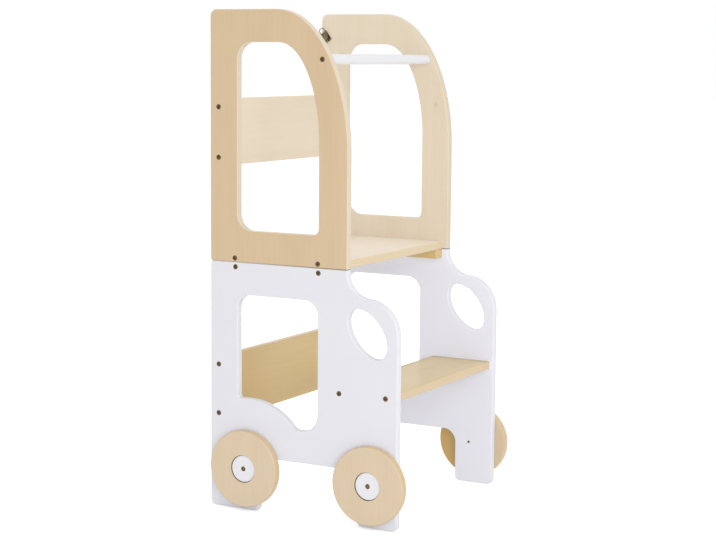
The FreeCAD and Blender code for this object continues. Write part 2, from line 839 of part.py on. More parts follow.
# Upper half
keep_pair("upper_panel", upper_panel())
platform = across_board(board_back, joint_height, platform_depth - board_back, board_t)
platform = screwed_board(platform, platform_screws)
keep("platform_board", drill(platform, both_sides([hinge_screw_hole(x, h) for x, h in hinge_upper_places])))
upper_slat = across_board(slat_inset, upper_slat_height - slat_width / 2, board_t, slat_width)
keep("upper_back_slat", screwed_board(upper_slat, upper_slat_screws))
bar = rod(-inner_x, hand_bar_depth, hand_bar_height, hand_bar_d / 2, 2 * inner_x)
keep("hand_bar", screwed_board(bar, hand_bar_screws))
keep_screws("upper_slat_screws", upper_slat_screws, screw_length)
keep_screws("platform_screws", platform_screws, screw_length)
keep_screws("hand_bar_screws", hand_bar_screws, screw_length)

# Toggle catches and keepers
keep_pair("catch_plate", catch_on_panel(catch_plate()))
keep_pair("catch_pin", catch_on_panel(catch_pin()))
keep_pair("catch_lever", catch_on_panel(catch_lever()))
keep_pair("catch_bail", catch_on_panel(catch_bail()))
keep_pair("catch_keeper", keeper_on_panel(keeper()))
plate_screws = [small_screw(back, catch_plate_t) for back in catch_screw_places()]
keep_group("catch_plate_screws", [catch_on_panel(screw) for screw in plate_screws])
keeper_screws = [small_screw(back, keeper_t) for back in keeper_screw_places()]
keep_group("catch_keeper_screws", [keeper_on_panel(screw) for screw in keeper_screws])
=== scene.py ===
import bpy
import json
import math
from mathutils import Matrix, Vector

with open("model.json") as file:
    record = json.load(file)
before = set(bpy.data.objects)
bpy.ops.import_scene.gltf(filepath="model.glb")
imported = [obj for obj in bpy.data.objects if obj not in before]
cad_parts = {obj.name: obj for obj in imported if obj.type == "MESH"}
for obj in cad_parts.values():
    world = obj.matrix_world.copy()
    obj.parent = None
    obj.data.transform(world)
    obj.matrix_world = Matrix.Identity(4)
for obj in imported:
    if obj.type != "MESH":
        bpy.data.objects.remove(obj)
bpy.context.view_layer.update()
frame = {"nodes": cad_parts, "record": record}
nodes = frame["nodes"]
print("stool loaded:", len(nodes), "parts")


def addNode(tree, kind, place, **values):
    node = tree.nodes.new(kind)
    node.location = place
    for name, value in values.items():
        setattr(node, name, value)
    return node


def feed(tree, source, target):
    # source is another node's output, or a plain number, triple or color
    if isinstance(source, bpy.types.NodeSocket):
        tree.links.new(source, target)
    elif target.type == "RGBA":
        target.default_value = (*source, 1)
    else:
        target.default_value = source


def feedAll(tree, node, values):
    for label, value in values.items():
        feed(tree, value, node.inputs[label])


def mathNode(tree, operation, place, first, second=None, clamp=False):
    node = addNode(tree, "ShaderNodeMath", place, operation=operation, use_clamp=clamp)
    feed(tree, first, node.inputs[0])
    if second is not None:
        feed(tree, second, node.inputs[1])
    return node.outputs[0]


def vectorNode(tree, operation, place, first, second=None):
    node = addNode(tree, "ShaderNodeVectorMath", place, operation=operation)
    feed(tree, first, node.inputs[0])
    if second is not None:
        feed(tree, second, node.inputs[1])
    return node.outputs["Value" if operation in ("LENGTH", "DOT_PRODUCT") else "Vector"]


def splitVector(tree, place, vector):
    node = addNode(tree, "ShaderNodeSeparateXYZ", place)
    feed(tree, vector, node.inputs[0])
    return node.outputs


def rangeNode(tree, place, value, low, high, toLow=0.0, toHigh=1.0):
    node = addNode(tree, "ShaderNodeMapRange", place)
    feedAll(tree, node, {
        "Value": value, "From Min": low, "From Max": high, "To Min": toLow, "To Max": toHigh,
    })
    return node.outputs["Result"]


def foldedRange(tree, place, value, low, high, toLow=0.0, toHigh=1.0):
    # the same on both sides of zero
    x, y = place
    folded = mathNode(tree, "ABSOLUTE", place, value)
    return rangeNode(tree, (x + 160, y), folded, low, high, toLow, toHigh)


def noiseNode(tree, place, vector, scale, detail=2, roughness=0.5, distortion=0):
    node = addNode(tree, "ShaderNodeTexNoise", place)
    feedAll(tree, node, {
        "Vector": vector, "Scale": scale, "Detail": detail, "Roughness": roughness, "Distortion": distortion,
    })
    return node.outputs["Fac"]


def patchyNoise(tree, place, vector, look):
    # a noise, and the stretch of its values that shows
    x, y = place
    noise = noiseNode(tree, place, vector, **look["noise"])
    return rangeNode(tree, (x + 200, y), noise, *look["range"])


def mixColor(tree, place, factor, first, second):
    node = addNode(tree, "ShaderNodeMix", place, data_type="RGBA", clamp_factor=True)
    feedAll(tree, node, {0: factor, 6: first, 7: second})   # 6 and 7 are the color inputs, 2 the color output
    return node.outputs[2]


def tint(tree, place, color, mask, share, tone):
    x, y = place
    return mixColor(tree, place, mathNode(tree, "MULTIPLY", (x - 160, y + 120), mask, share), color, tone)


def newGroup(name, inputs, outputs):
    # inputs: (label, socket type, default), outputs: (label, socket type)
    group = bpy.data.node_groups.new(name, "ShaderNodeTree")
    for label, kind, default in inputs:
        socket = group.interface.new_socket(label, in_out="INPUT", socket_type=kind)
        if default is not None:
            socket.default_value = default
    for label, kind in outputs:
        group.interface.new_socket(label, in_out="OUTPUT", socket_type=kind)
    source = addNode(group, "NodeGroupInput", (-1400, 0))
    target = addNode(group, "NodeGroupOutput", (900, 0))
    return group, source.outputs, target


grainLook = {
    "driftLength": 0.13, "fibreLength": 0.025, "poreLength": 0.09,   # the smaller, the longer along the grain
    "drift": {"scale": 5.5, "detail": 3, "roughness": 0.55},
    "bend": 0.09, "slant": 0.35,         # how far the growth lines wander, and lean through the board
    "lateWood": 3.2, "nextRing": 0.93,   # slow rise to the dark late wood, then a soft fall to the next ring
    "fibre": {"noise": {"scale": 900, "detail": 3, "roughness": 0.6}, "range": (0.35, 0.7)},
    "pore": {"noise": {"scale": 1300, "detail": 1, "roughness": 0.4}, "range": (0.66, 0.78)},
    "cloud": {"noise": {"scale": 9, "detail": 2, "roughness": 0.5}, "range": (0.3, 0.7, -0.10, 0.14)},
    "streak": {"noise": {"scale": 34, "detail": 3, "roughness": 0.55}, "range": (0.35, 0.7, -0.05, 0.16)},
    "fibreTone": 0.16, "poreTone": 0.12,
    "fibreHeight": 0.5, "lineDepth": 0.35,
    "roughness": (0.36, 0.48),           # pale wood, dark wood
}


def drawnOut(tree, place, vector, along):
    # a vector whose patterns run long along its Z
    node = addNode(tree, "ShaderNodeMapping", place)
    feedAll(tree, node, {"Vector": vector, "Scale": (1, 1, along)})
    return node.outputs["Vector"]


def makeWoodGrain(look):
    # pale board wood. The grain runs along the vector's Z, the growth lines stack along its Y
    tree, source, target = newGroup("woodGrain", [
        ("Vector", "NodeSocketVector", None),
        ("Pale", "NodeSocketColor", (0.8, 0.7, 0.55, 1)),
        ("Deep", "NodeSocketColor", (0.6, 0.45, 0.28, 1)),
        ("Line Spacing", "NodeSocketFloat", 0.011),
        ("Figure", "NodeSocketFloat", 0.5),
        ("Fibre", "NodeSocketFloat", 0.5),
    ], [("Color", "NodeSocketColor"), ("Roughness", "NodeSocketFloat"), ("Height", "NodeSocketFloat")])
    vector = source["Vector"]

    # slow drift that bends the growth lines into long tongues
    drifting = drawnOut(tree, (-1200, 300), vector, look["driftLength"])
    drift = noiseNode(tree, (-1000, 300), drifting, **look["drift"])
    split = splitVector(tree, (-1200, 60), vector)
    across = mathNode(tree, "ADD", (-640, 240), split["Y"],
                      mathNode(tree, "MULTIPLY", (-800, 300), drift, look["bend"]))
    across = mathNode(tree, "ADD", (-500, 240), across,
                      mathNode(tree, "MULTIPLY", (-640, 100), split["X"], look["slant"]))
    rings = mathNode(tree, "DIVIDE", (-360, 240), across, source["Line Spacing"])
    ring = mathNode(tree, "FRACT", (-220, 240), rings)
    rise = mathNode(tree, "POWER", (-80, 240), ring, look["lateWood"])
    fall = rangeNode(tree, (-80, 60), ring, look["nextRing"], 1.0, 1.0, 0.0)
    lines = mathNode(tree, "MULTIPLY", (60, 240), rise, fall)
    lines = mathNode(tree, "MULTIPLY", (200, 240), lines, source["Figure"])

    # fibres and short pores
    fine = drawnOut(tree, (-1200, -200), vector, look["fibreLength"])
    fibres = patchyNoise(tree, (-1000, -200), fine, look["fibre"])
    fibres = mathNode(tree, "MULTIPLY", (-600, -200), fibres, source["Fibre"])
    short = drawnOut(tree, (-1200, -420), vector, look["poreLength"])
    pores = patchyNoise(tree, (-1000, -420), short, look["pore"])
    pores = mathNode(tree, "MULTIPLY", (-600, -420), pores, source["Fibre"])

    # cloudy patches and broad streaks
    cloud = patchyNoise(tree, (-1000, -620), drifting, look["cloud"])
    streak = patchyNoise(tree, (-1000, -820), drifting, look["streak"])

    fibreTone = mathNode(tree, "MULTIPLY", (-440, -200), fibres, look["fibreTone"])
    poreTone = mathNode(tree, "MULTIPLY", (-440, -420), pores, look["poreTone"])
    shade = mathNode(tree, "ADD", (320, 120), lines, fibreTone)
    shade = mathNode(tree, "ADD", (440, 60), shade, poreTone)
    shade = mathNode(tree, "ADD", (560, 0), shade, cloud)
    shade = mathNode(tree, "ADD", (620, -100), shade, streak, clamp=True)

    fibreHeight = mathNode(tree, "MULTIPLY", (300, -300), fibres, look["fibreHeight"])
    lineDepth = mathNode(tree, "MULTIPLY", (440, -420), lines, look["lineDepth"])
    height = mathNode(tree, "SUBTRACT", (560, -300), fibreHeight, pores)
    feedAll(tree, target, {
        "Color": mixColor(tree, (700, 160), shade, source["Pale"], source["Deep"]),
        "Roughness": rangeNode(tree, (700, -60), shade, 0.0, 1.0, *look["roughness"]),
        "Height": mathNode(tree, "SUBTRACT", (700, -300), height, lineDepth),
    })
    return tree


edgeLook = {
    "turn": (0.62, 0.90),    # how squarely a surface looks through the board: edge below, face above
    "glueLine": 0.55, "layerTone": 0.14,
    "speck": {"noise": {"scale": 620, "detail": 3, "roughness": 0.65}, "range": (0.38, 0.7, -0.04, 0.16)},
}


def makeBoardEdge(look):
    # sawn and sanded edge of a layered board, and a mask of where it shows. Face points through the board
    tree, source, target = newGroup("boardEdge", [
        ("Vector", "NodeSocketVector", None),
        ("Normal", "NodeSocketVector", None),
        ("Face", "NodeSocketVector", (1, 0, 0)),
        ("Layer", "NodeSocketFloat", 0.0014),
        ("Pale", "NodeSocketColor", (0.8, 0.7, 0.55, 1)),
        ("Deep", "NodeSocketColor", (0.6, 0.45, 0.28, 1)),
    ], [("Color", "NodeSocketColor"), ("Mask", "NodeSocketFloat")])
    depth = vectorNode(tree, "DOT_PRODUCT", (-1100, 200), source["Vector"], source["Face"])
    facing = vectorNode(tree, "DOT_PRODUCT", (-1100, -100), source["Normal"], source["Face"])

    layers = mathNode(tree, "DIVIDE", (-920, 200), depth, source["Layer"])
    wave = mathNode(tree, "SINE", (-620, 200), mathNode(tree, "MULTIPLY", (-760, 200), layers, math.pi))
    layerShade = rangeNode(tree, (-480, 200), wave, -look["glueLine"], look["glueLine"])
    shade = mathNode(tree, "MULTIPLY", (-300, 200), layerShade, look["layerTone"])
    speck = patchyNoise(tree, (-740, -320), source["Vector"], look["speck"])
    shade = mathNode(tree, "ADD", (-140, 100), shade, speck, clamp=True)
    feedAll(tree, target, {
        "Color": mixColor(tree, (60, 160), shade, source["Pale"], source["Deep"]),
        "Mask": foldedRange(tree, (-920, -100), facing, *look["turn"], 1.0, 0.0),
    })
    return tree


handlingLook = {
    "smudgeDetail": 4, "smudgeRange": (0.42, 0.72),
    "rub": {"noise": {"scale": 160, "detail": 5, "roughness": 0.7, "distortion": 1.2}, "range": (0.60, 0.80)},
}


def makeHandling(look):
    # faint unevenness that every finish gets in use: soft smudges and a few fine rubs
    tree, source, target = newGroup("handling", [
        ("Vector", "NodeSocketVector", None),
        ("Smudge Size", "NodeSocketFloat", 14.0),
    ], [("Smudge", "NodeSocketFloat"), ("Rub", "NodeSocketFloat")])
    smudge = noiseNode(tree, (-700, 150), source["Vector"], source["Smudge Size"], look["smudgeDetail"])
    feedAll(tree, target, {
        "Smudge": rangeNode(tree, (-400, 150), smudge, *look["smudgeRange"]),
        "Rub": patchyNoise(tree, (-700, -150), source["Vector"], look["rub"]),
    })
    return tree


woodGrain = makeWoodGrain(grainLook)
boardEdge = makeBoardEdge(edgeLook)
handling = makeHandling(handlingLook)
print("grain, edge and handling groups ready")


def newMaterial(name):
    material = bpy.data.materials.new(name)
    material.use_nodes = True
    tree = material.node_tree
    tree.nodes.clear()
    output = addNode(tree, "ShaderNodeOutputMaterial", (1400, 0))
    shader = addNode(tree, "ShaderNodeBsdfPrincipled", (1100, 0))
    feed(tree, shader.outputs[0], output.inputs["Surface"])
    return material, tree, shader


def placeGroup(tree, group, place, values):
    node = addNode(tree, "ShaderNodeGroup", place, node_tree=group)
    feedAll(tree, node, values)
    return node.outputs


def bumpNode(tree, place, height, look):
    node = addNode(tree, "ShaderNodeBump", place)
    feedAll(tree, node, {
        "Height": height, "Distance": look["bumpDistance"], "Strength": look["bumpStrength"],
    })
    return node.outputs["Normal"]


# face: the direction through the board; axes: what runs across, stacks and runs along in the wood grain
boards = {
    "panel": {"face": (1, 0, 0), "axes": ("X", "Y", "Z")},
    "shelf": {"face": (0, 0, 1), "axes": ("Z", "Y", "X")},
    "slat": {"face": (0, 1, 0), "axes": ("Y", "Z", "X")},
    "cleat": {"face": (0, 0, 1), "axes": ("X", "Z", "Y")},
}

# what every wood has, unless its own look says otherwise
plainWood = {
    "fibre": 0.5, "layer": 0.0014, "smudgeSize": 14.0, "smudgeTone": 0.05, "smudgeRoughness": 0.08,
    "specular": 0.42, "coat": 0.16, "coatRoughness": 0.24, "rubbedCoat": 0.4,
    "bumpDistance": 0.00012, "bumpStrength": 0.5,
}

# painted shadow: a dark line for the shadow in the gap where the upper half stands on the base, deeper
# towards the front
jointGapShadow = {
    "height": 0.4516, "reach": 0.0016, "color": (0.13, 0.085, 0.05),
    "turn": (0.90, 0.98),                                # the sole of the foot, which looks down, gets no painted shadow
    "rear": 0.16, "front": -0.07, "rearShare": 0.3, "frontShare": 1.0,
}

woods = {
    "panel_birch": {
        "board": "panel", "lineSpacing": 0.013, "figure": 0.14,
        "pale": (0.660, 0.497, 0.314), "deep": (0.573, 0.408, 0.234),
        "edgePale": (0.695, 0.602, 0.468), "edgeDeep": (0.634, 0.528, 0.386),
        "jointGapShadow": jointGapShadow,
    },
    # a lit copy of the panel wood: paler, standing in for the brighter light on the right panel's inner face
    "rightPanelLitCopy": {
        "board": "panel", "lineSpacing": 0.014, "figure": 0.12,
        "pale": (0.765, 0.662, 0.510), "deep": (0.668, 0.537, 0.372),
        "edgePale": (0.670, 0.575, 0.430), "edgeDeep": (0.59, 0.47, 0.31),
        "jointGapShadow": jointGapShadow,
        "knot": {
            "centre": (0.191, -0.0532, 0.728), "squeeze": (1, 1.25, 0.8), "core": 0.00136, "rim": 0.00612,
            "share": 0.32, "color": (0.36, 0.30, 0.20),
        },
    },
    "platform_birch": {
        "board": "shelf", "lineSpacing": 0.015, "figure": 0.12,
        "pale": (0.855, 0.752, 0.625), "deep": (0.760, 0.617, 0.460),
        "edgePale": (0.710, 0.572, 0.368), "edgeDeep": (0.62, 0.47, 0.28),
    },
    # a lit copy of the slat wood: paler, standing in for the light falling on its front face
    "upperSlatLitCopy": {
        "board": "slat", "lineSpacing": 0.014, "figure": 0.12,
        "pale": (0.768, 0.668, 0.516), "deep": (0.669, 0.531, 0.360),
        "edgePale": (0.80, 0.68, 0.50), "edgeDeep": (0.68, 0.53, 0.35),
    },
    # a shaded copy of the slat wood: deeper and yellower, standing in for the shade its front face sits in
    "lowerSlatShadedCopy": {
        "board": "slat", "lineSpacing": 0.014, "figure": 0.14,
        "pale": (0.694, 0.510, 0.236), "deep": (0.581, 0.400, 0.168),
        "edgePale": (0.73, 0.58, 0.37), "edgeDeep": (0.60, 0.44, 0.25),
        "leftPanelShadow": {"from": -0.04, "to": -0.11, "share": 0.75},      # painted shadow of the left panel, deeper towards it
        "rearFace": {"turn": (0.5, 0.9), "share": 0.65, "color": (0.765, 0.645, 0.465)},
    },
    "step_birch": {
        "board": "shelf", "lineSpacing": 0.012, "figure": 0.16,
        "pale": (0.690, 0.522, 0.235), "deep": (0.590, 0.407, 0.160),
        "edgePale": (0.650, 0.500, 0.300), "edgeDeep": (0.55, 0.39, 0.20),
        "coat": 0.55, "coatRoughness": 0.20, "specular": 0.2,
        "contactShadow": {
            "side": 0.191, "rear": -0.053, "sideReach": 0.026, "rearReach": 0.0156, "fade": 1.6,
            "share": 0.6, "color": (0.22, 0.13, 0.05),
        },
    },
    "wheel_birch": {
        "board": "panel", "lineSpacing": 0.010, "figure": 0.12,
        "pale": (0.700, 0.562, 0.392), "deep": (0.598, 0.449, 0.287),
        "edgePale": (0.640, 0.475, 0.275), "edgeDeep": (0.54, 0.38, 0.20),
        "diameter": 0.14,
        "innerFaceShade": {
            "at": 0.2085, "slack": 0.0004, "reach": (0.3, 0.5), "shares": (0.12, 0.97),
            "color": (0.580, 0.370, 0.120),
        },
        "pocket": {
            "at": 0.2204, "slack": 0.0004, "radius": 0.0252, "soft": 0.0003, "share": 0.9,
            "color": (0.085, 0.05, 0.025),
        },
    },
    "cleat_wood": {
        "board": "cleat", "lineSpacing": 0.006, "figure": 0.22,
        "pale": (0.670, 0.485, 0.205), "deep": (0.515, 0.330, 0.130),
        "edgePale": (0.67, 0.485, 0.205), "edgeDeep": (0.515, 0.33, 0.13),
    },
}

# what bounced light meets instead of the wood's own color, so that little warmth bleeds onto the white panels
calmBounce = {"color": (0.84, 0.82, 0.82), "share": 0.75}


def knotMask(tree, position, knot):
    # a small oval spot, darkest at its core
    away = vectorNode(tree, "SUBTRACT", (-1500, -500), position, knot["centre"])
    squeezed = vectorNode(tree, "MULTIPLY", (-1320, -500), away, knot["squeeze"])
    distance = vectorNode(tree, "LENGTH", (-1140, -500), squeezed)
    return rangeNode(tree, (-960, -500), distance, knot["core"], knot["rim"], 1.0, 0.0)


def contactShadowMask(tree, split, edgeMask, contactShadow):
    # painted shadow on top of a board along the panels at its ends and along its rear edge, where contact
    # shade falls
    beside = foldedRange(tree, (-850, 900), split["X"], contactShadow["side"] - contactShadow["sideReach"], contactShadow["side"])
    behind = rangeNode(tree, (-700, 1100), split["Y"], contactShadow["rear"] - contactShadow["rearReach"], contactShadow["rear"])
    nearest = mathNode(tree, "MAXIMUM", (-500, 1000), beside, behind)
    fading = mathNode(tree, "POWER", (-350, 1000), nearest, contactShadow["fade"])
    onTop = mathNode(tree, "SUBTRACT", (-350, 850), 1, edgeMask)
    return mathNode(tree, "MULTIPLY", (-200, 1000), fading, onTop)


def jointShadowMask(tree, split, normal, joint):
    # painted shadow: a thin dark line on the rounded corner just above the joint gap
    top = joint["height"] + joint["reach"]
    low = rangeNode(tree, (-200, 550), split["Z"], joint["height"], top, 1.0, 0.0)
    upDown = splitVector(tree, (-600, 650), normal)["Z"]
    rounded = foldedRange(tree, (-450, 650), upDown, *joint["turn"], 1.0, 0.0)
    gap = rangeNode(tree, (-300, 800), split["Y"], joint["rear"], joint["front"],
                    joint["rearShare"], joint["frontShare"])
    low = mathNode(tree, "MULTIPLY", (-150, 600), low, rounded)
    return mathNode(tree, "MULTIPLY", (-100, 650), low, gap)


def inwardMask(tree, place, split, face):
    # 1 from the middle of the stool out to this face, 0 beyond it
    low, high = face["at"] - face["slack"], face["at"] + face["slack"]
    return foldedRange(tree, place, split["X"], low, high, 1.0, 0.0)


def innerFaceShadeMask(tree, split, generated, face):
    # painted shade on the inner face of a wheel, deeper and warmer towards the rear
    along = splitVector(tree, (-460, 1300), generated)["Y"]
    deeperTowardsRear = rangeNode(tree, (-300, 1300), along, *face["reach"], *face["shares"])
    return mathNode(tree, "MULTIPLY", (-150, 1200), inwardMask(tree, (-460, 1150), split, face), deeperTowardsRear)


def pocketMask(tree, split, generated, pocket, diameter):
    # painted shadow in the gap around the hub: the floor and wall of the hole bored in a wheel are darkened
    middle = (0.5, 0.5, 0.5)      # generated coordinates run from 0 to 1 over the wheel
    fromMiddle = vectorNode(tree, "SUBTRACT", (-1000, 800), generated, middle)
    inMetres = vectorNode(tree, "MULTIPLY", (-820, 800), fromMiddle, (0, diameter, diameter))
    away = vectorNode(tree, "LENGTH", (-640, 800), inMetres)
    within = rangeNode(tree, (-460, 800), away, pocket["radius"], pocket["radius"] + pocket["soft"],
                       pocket["share"], 0.0)
    return mathNode(tree, "MULTIPLY", (-200, 800), within, inwardMask(tree, (-460, 950), split, pocket))


def makeWood(slot, look):
    material, tree, shader = newMaterial(slot)
    look = {**plainWood, **look}
    board = boards[look["board"]]
    coordinates = addNode(tree, "ShaderNodeTexCoord", (-1500, 0)).outputs
    position = coordinates["Object"]
    split = splitVector(tree, (-1300, 200), position)
    turned = addNode(tree, "ShaderNodeCombineXYZ", (-1120, 200))
    for i, axis in enumerate(board["axes"]):
        feed(tree, split[axis], turned.inputs[i])

    grain = placeGroup(tree, woodGrain, (-800, 300), {
        "Vector": turned.outputs[0], "Pale": look["pale"], "Deep": look["deep"],
        "Line Spacing": look["lineSpacing"], "Figure": look["figure"], "Fibre": look["fibre"],
    })
    edge = placeGroup(tree, boardEdge, (-800, -100), {
        "Vector": position, "Normal": coordinates["Normal"], "Face": board["face"],
        "Layer": look["layer"], "Pale": look["edgePale"], "Deep": look["edgeDeep"],
    })
    touch = placeGroup(tree, handling, (-800, -350), {"Vector": position, "Smudge Size": look["smudgeSize"]})

    color = mixColor(tree, (-400, 300), edge["Mask"], grain["Color"], edge["Color"])
    if "knot" in look:
        knot = look["knot"]
        color = tint(tree, (-200, 300), color, knotMask(tree, position, knot), knot["share"], knot["color"])
    # painted shadow that the left panel casts on the slat's left end
    if "leftPanelShadow" in look:
        leftPanelShadow = look["leftPanelShadow"]
        shadowed = rangeNode(tree, (-400, 700), split["X"], leftPanelShadow["from"], leftPanelShadow["to"], 0.0, leftPanelShadow["share"])
        color = mixColor(tree, (-300, 400), shadowed, color, look["deep"])
    # the rear face is mixed to a paler tone, dropping the painted shade meant for the front face
    if "rearFace" in look:
        rear = look["rearFace"]
        backwards = splitVector(tree, (-600, 850), coordinates["Normal"])["Y"]
        paler = rangeNode(tree, (-400, 850), backwards, *rear["turn"], 0.0, rear["share"])
        color = mixColor(tree, (-250, 400), paler, color, rear["color"])
    rubbed = look["coat"] * look["rubbedCoat"]
    coat = rangeNode(tree, (0, -250), touch["Rub"], 0.0, 1.0, look["coat"], rubbed)
    # painted contact shadow along the side panels and the rear edge; the coat fades out with it
    if "contactShadow" in look:
        contactShadow = look["contactShadow"]
        contactShade = contactShadowMask(tree, split, edge["Mask"], contactShadow)
        color = tint(tree, (-250, 300), color, contactShade, contactShadow["share"], contactShadow["color"])
        unshaded = mathNode(tree, "SUBTRACT", (100, -400), 1, contactShade)
        coat = mathNode(tree, "MULTIPLY", (200, -250), coat, unshaded)
    # painted shadow of the gap where the upper half meets the base
    if "jointGapShadow" in look:
        joint = look["jointGapShadow"]
        line = jointShadowMask(tree, split, coordinates["Normal"], joint)
        color = mixColor(tree, (-100, 300), line, color, joint["color"])
    # painted shade on the wheels' inner faces, which sit in the shadow of the legs
    if "innerFaceShade" in look:
        innerShade = innerFaceShadeMask(tree, split, coordinates["Generated"], look["innerFaceShade"])
        color = mixColor(tree, (-150, 300), innerShade, color, look["innerFaceShade"]["color"])
    # painted shadow in the gap around each hub
    if "pocket" in look:
        gapShade = pocketMask(tree, split, coordinates["Generated"], look["pocket"], look["diameter"])
        color = mixColor(tree, (-100, 300), gapShade, color, look["pocket"]["color"])
    color = tint(tree, (0, 300), color, touch["Smudge"], look["smudgeTone"], look["deep"])
    bounced = addNode(tree, "ShaderNodeLightPath", (0, 700)).outputs["Is Diffuse Ray"]
    smudgeRoughness = mathNode(tree, "MULTIPLY", (-200, -250), touch["Smudge"], look["smudgeRoughness"])
    feedAll(tree, shader, {
        "Base Color": tint(tree, (400, 300), color, bounced, calmBounce["share"], calmBounce["color"]),
        "Roughness": mathNode(tree, "ADD", (0, -50), grain["Roughness"], smudgeRoughness),
        "Specular IOR Level": look["specular"],
        "Coat Weight": coat,
        "Coat Roughness": look["coatRoughness"],
        "Normal": bumpNode(tree, (700, -300), grain["Height"], look),
    })
    return material


# what every paint has; turn: how squarely a surface looks sideways, edge tone below, face tone above
rolledFilm = {
    "drift": {"noise": {"scale": 6, "detail": 2, "roughness": 0.5}, "range": (0.35, 0.7)},
    "peelDetail": 3, "peelRoughness": 0.55, "smudgeSize": 9, "rubTone": 0.12, "duller": 0.12,
    "turn": (0.5, 0.92), "specular": 0.45, "bumpStrength": 0.45,
}

# on the white panels the edge tone is a shaded copy of the paint, a little darker than the face, holding back
# the light their front edges and rims catch
paints = {
    "panel_white": {
        "color": (0.765, 0.760, 0.804), "shade": (0.749, 0.744, 0.790), "edge": (0.742, 0.748, 0.791),
        "roughness": 0.42, "peel": 420, "bumpDistance": 0.00006,
    },
    # a lit copy of the white paint: lighter and bluer, standing in for brighter, even light on the right base
    # panel's inner face
    "rightBaseLitCopy": {
        "color": (0.830, 0.838, 0.900), "shade": (0.815, 0.821, 0.884), "edge": (0.735, 0.740, 0.782),
        "roughness": 0.42, "peel": 420, "bumpDistance": 0.00006,
        "underPlatformLight": {
            "low": 0.405, "high": 0.435, "front": -0.075, "back": -0.035, "color": (0.93, 0.945, 1.0),
        },
    },
    "bar_white": {
        "color": (0.760, 0.760, 0.790), "shade": (0.745, 0.745, 0.775), "edge": (0.760, 0.760, 0.790),
        "roughness": 0.38, "peel": 480, "bumpDistance": 0.00005,
    },
    "hub_white": {
        "color": (0.800, 0.800, 0.830), "shade": (0.780, 0.780, 0.810), "edge": (0.84, 0.84, 0.86),
        "roughness": 0.34, "peel": 700, "bumpDistance": 0.00002,
    },
}


def underPlatformLightMask(tree, position, under):
    # painted light: lighter paint just under the platform's front, thinning the shadow there
    split = splitVector(tree, (-800, 800), position)
    below = rangeNode(tree, (-600, 800), split["Z"], under["low"], under["high"])
    behind = rangeNode(tree, (-600, 1000), split["Y"], under["front"], under["back"])
    return mathNode(tree, "MULTIPLY", (-400, 900), below, behind)


def makePaint(slot, look):
    # satin paint: rolled film with a fine peel, slightly thinner and duller where hands rub
    material, tree, shader = newMaterial(slot)
    look = {**rolledFilm, **look}
    coordinates = addNode(tree, "ShaderNodeTexCoord", (-1100, 0)).outputs
    position = coordinates["Object"]
    touch = placeGroup(tree, handling, (-800, -250), {"Vector": position, "Smudge Size": look["smudgeSize"]})
    peel = noiseNode(tree, (-800, 100), position, look["peel"], look["peelDetail"], look["peelRoughness"])
    drift = patchyNoise(tree, (-800, 350), position, look["drift"])

    color = mixColor(tree, (-300, 300), drift, look["color"], look["shade"])
    color = tint(tree, (-100, 300), color, touch["Rub"], look["rubTone"], look["shade"])
    # painted light that lifts the shadow under the platform
    if "underPlatformLight" in look:
        underPlatformLight = underPlatformLightMask(tree, position, look["underPlatformLight"])
        color = mixColor(tree, (0, 500), underPlatformLight, color, look["underPlatformLight"]["color"])
    # edge tone on surfaces that don't face sideways: painted shade on the white panels' front edges and rims
    sideways = splitVector(tree, (-800, 550), coordinates["Normal"])["X"]
    edge = foldedRange(tree, (-600, 550), sideways, *look["turn"], 1.0, 0.0)
    dull = look["roughness"] + look["duller"]
    feedAll(tree, shader, {
        "Base Color": mixColor(tree, (100, 300), edge, color, look["edge"]),
        "Roughness": rangeNode(tree, (-300, 0), touch["Smudge"], 0, 1, look["roughness"], dull),
        "Specular IOR Level": look["specular"],
        "Normal": bumpNode(tree, (700, -300), peel, look),
    })
    return material


# what every plated piece has; edgeTurn: how well a rounded edge and its flat face agree
antiquePlate = {
    "patchDetail": 3, "patchRoughness": 0.55, "patchRange": (0.38, 0.72),
    "edgeTurn": (0.80, 0.99), "edgeRub": 0.75, "smudgeSize": 220, "duller": 0.18, "metallic": 0.85,
    "grit": 2600, "bumpDistance": 0.00002, "bumpStrength": 0.4,
}

metals = {
    "screw_bronze": {
        "plate": (0.120, 0.078, 0.036), "rubbed": (0.40, 0.27, 0.13), "roughness": 0.40,
        "patch": 240, "mottle": 0.35, "edgeWear": 0.00025,
    },
    "hinge_bronze": {
        "plate": (0.140, 0.100, 0.054), "rubbed": (0.42, 0.32, 0.18), "roughness": 0.36,
        "patch": 160, "mottle": 0.30, "edgeWear": 0.0004,
    },
    "catch_bronze": {
        "plate": (0.150, 0.118, 0.062), "rubbed": (0.66, 0.56, 0.36), "roughness": 0.30,
        "patch": 260, "mottle": 0.30, "edgeWear": 0.0006,
    },
}


def rubbedEdgeMask(tree, look):
    rounded = addNode(tree, "ShaderNodeBevel", (-1100, 600))
    feed(tree, look["edgeWear"], rounded.inputs["Radius"])
    surface = addNode(tree, "ShaderNodeNewGeometry", (-1100, 450))
    agree = vectorNode(tree, "DOT_PRODUCT", (-900, 550), rounded.outputs["Normal"], surface.outputs["Normal"])
    return rangeNode(tree, (-700, 550), agree, *look["edgeTurn"], look["edgeRub"], 0.0)


